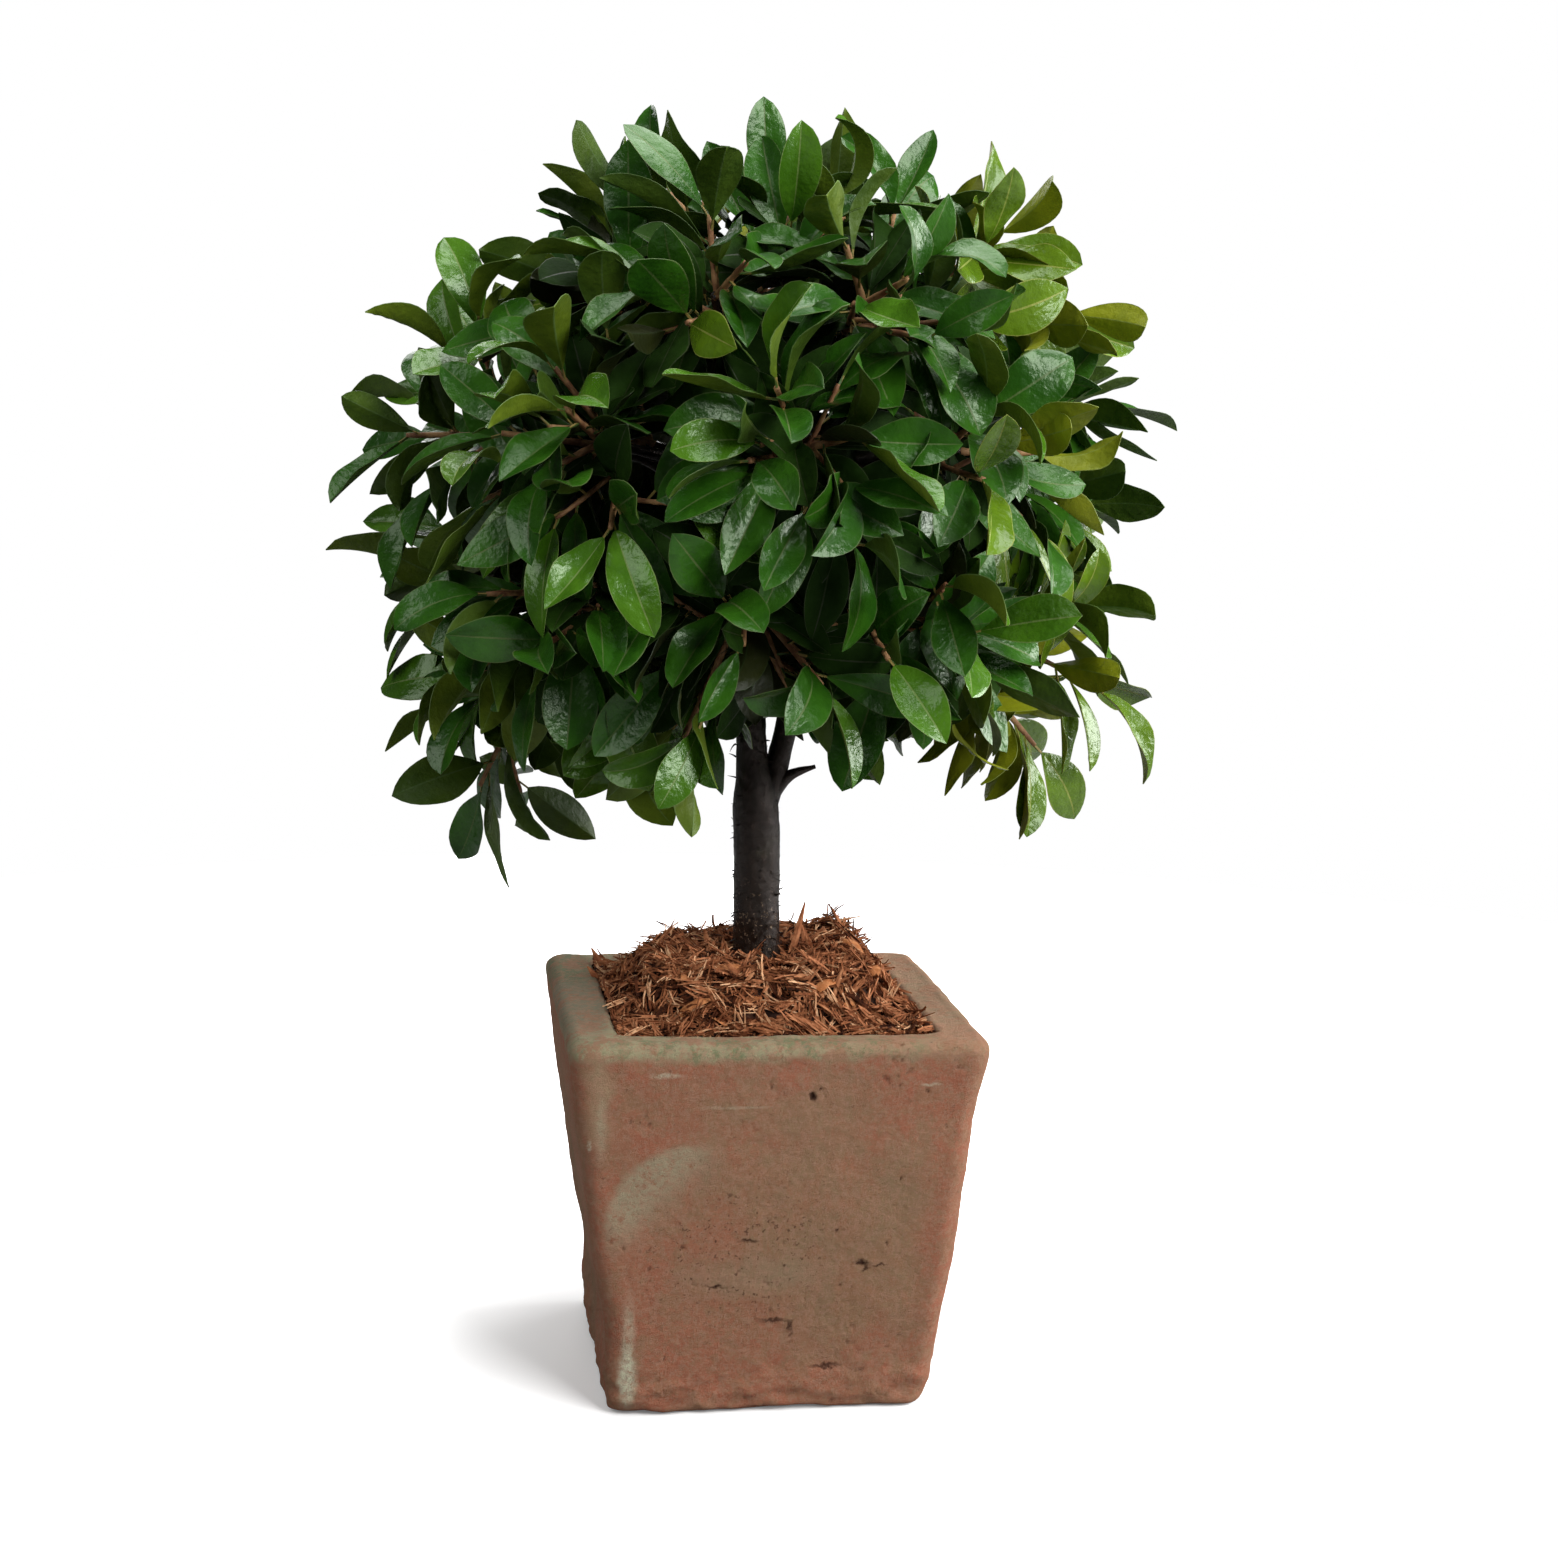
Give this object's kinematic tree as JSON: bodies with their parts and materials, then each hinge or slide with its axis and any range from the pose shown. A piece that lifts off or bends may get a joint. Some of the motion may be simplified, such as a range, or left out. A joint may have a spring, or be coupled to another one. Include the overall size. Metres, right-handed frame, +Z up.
{
  "type": "artificial bay topiary in a square terracotta pot",
  "caption": "A ball-headed artificial bay tree on a dark stem, with glossy evergreen leaves, in a tapered square terracotta pot topped with shredded bark mulch.",
  "frame": {"origin": "middle of the pot's flat underside, which is level with the floor", "axes": "+Z up along the stem, -Y towards the viewer (the pot's front face), +X to the viewer's right"},
  "size_m": [0.4469, 0.3856, 0.6364],
  "materials": {
    "terracotta": "matte",
    "soil": "matte",
    "mulch": "matte",
    "bark": "matte",
    "leaf": "satin"
  },
  "bodies": {
    "root": {"terracotta_pot": "terracotta", "soil_fill": "soil", "bark_mulch": "mulch", "trunk": "bark", "bough_lower_back_left": "bark", "bough_lower_back_right": "bark", "bough_lower_front": "bark", "bough_lower_front_left": "bark", "bough_lower_front_right": "bark", "bough_lower_left": "bark", "bough_lower_right": "bark", "bough_middle_back_left": "bark", "bough_middle_back_right": "bark", "bough_middle_front": "bark", "bough_middle_front_left": "bark", "bough_middle_front_right": "bark", "bough_middle_left": "bark", "bough_middle_right": "bark", "bough_upper_back_left": "bark", "bough_upper_back_right": "bark", "bough_upper_front": "bark", "bough_upper_front_right": "bark", "bough_upper_left": "bark", "bough_upper_right": "bark", "foliage_crown_top": "leaf", "foliage_lower_back_left": "leaf", "foliage_lower_back_right": "leaf", "foliage_lower_front": "leaf", "foliage_lower_front_left": "leaf", "foliage_lower_front_right": "leaf", "foliage_lower_left": "leaf", "foliage_lower_right": "leaf", "foliage_middle_back_left": "leaf", "foliage_middle_back_right": "leaf", "foliage_middle_front": "leaf", "foliage_middle_front_left": "leaf", "foliage_middle_front_right": "leaf", "foliage_middle_left": "leaf", "foliage_middle_right": "leaf", "foliage_upper_back_left": "leaf", "foliage_upper_back_right": "leaf", "foliage_upper_front": "leaf", "foliage_upper_front_right": "leaf", "foliage_upper_left": "leaf", "foliage_upper_right": "leaf"}
  },
  "joints": []
}
